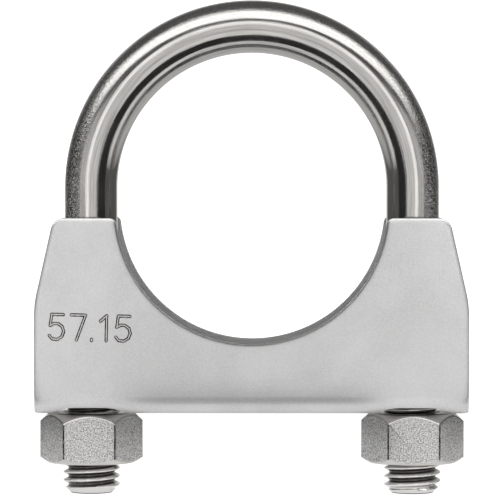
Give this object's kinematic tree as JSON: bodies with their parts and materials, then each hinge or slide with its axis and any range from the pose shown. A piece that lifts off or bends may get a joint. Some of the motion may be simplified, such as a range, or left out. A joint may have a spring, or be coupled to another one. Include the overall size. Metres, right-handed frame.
{
  "type": "u-bolt saddle clamp",
  "caption": "Round-bar U-bolt with a pressed channel saddle and two hexagon nuts, clamping a 57 mm round pipe.",
  "frame": {"origin": "centre of the saddle's cradle circle, on the pipe's axis, halfway along the saddle's depth", "axes": "+Y along the pipe's axis, away from the marked face; +Z from the nuts to the top of the arch; +X to the right when the marked face is seen"},
  "size_m": [0.0914, 0.0244, 0.1049],
  "materials": {
    "drawn_bar": "polished drawn bar with rolled threads",
    "pressed_sheet": "satin pressed sheet",
    "nut_steel": "forged hexagon faces with turned chamfers"
  },
  "bodies": {
    "u_bolt": {"u_bolt": "drawn_bar"},
    "saddle": {"saddle": "pressed_sheet"},
    "left_nut": {"left_nut": "nut_steel"},
    "right_nut": {"right_nut": "nut_steel"}
  },
  "joints": [
    {"name": "saddle_slide", "type": "slide", "parent": "u_bolt", "child": "saddle", "axis": [0, 0, 1], "range_m": [-0.0063, 0.0042]},
    {"name": "left_nut_spin", "type": "hinge", "parent": "saddle", "child": "left_nut", "pos_m": [-0.03425, 0, -0.049], "axis": [0, 0, 1], "range_deg": [-1296, 864]},
    {"name": "right_nut_spin", "type": "hinge", "parent": "saddle", "child": "right_nut", "pos_m": [0.03425, 0, -0.049], "axis": [0, 0, 1], "range_deg": [-1296, 864]}
  ],
  "couplings": [
    {"joint": "saddle_slide", "follows": "left_nut_spin", "m_per_rad": 0.00027852},
    {"joint": "right_nut_spin", "follows": "left_nut_spin", "ratio": 1}
  ]
}
